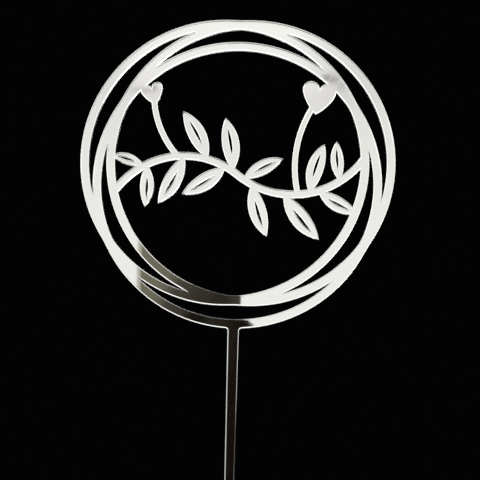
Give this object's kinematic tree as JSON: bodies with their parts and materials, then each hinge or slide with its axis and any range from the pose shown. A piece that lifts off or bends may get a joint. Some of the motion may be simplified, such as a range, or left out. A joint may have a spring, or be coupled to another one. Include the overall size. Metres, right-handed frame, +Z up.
{
  "type": "cake topper",
  "caption": "Flat cake topper cut from mirror acrylic: a wreath of overlapping hoops round an open leafy vine with hearts, on a stick that is pushed into the cake.",
  "frame": {"origin": "on the stick's middle line, in the middle of the sheet, at the level of the cake's top, 45 mm above the stick's tip", "axes": "+Z up along the stick, -Y towards the viewer of the mirror front, +X to that viewer's right"},
  "size_m": [0.109, 0.002, 0.1778],
  "materials": {
    "clear_acrylic": "clear, polished faces and laser-cut edges",
    "mirror": "silver mirror",
    "lacquer": "matt grey protective coat"
  },
  "bodies": {
    "root": {"acrylic_sheet": "clear_acrylic", "mirror_film": "mirror", "back_lacquer": "lacquer"}
  },
  "joints": []
}
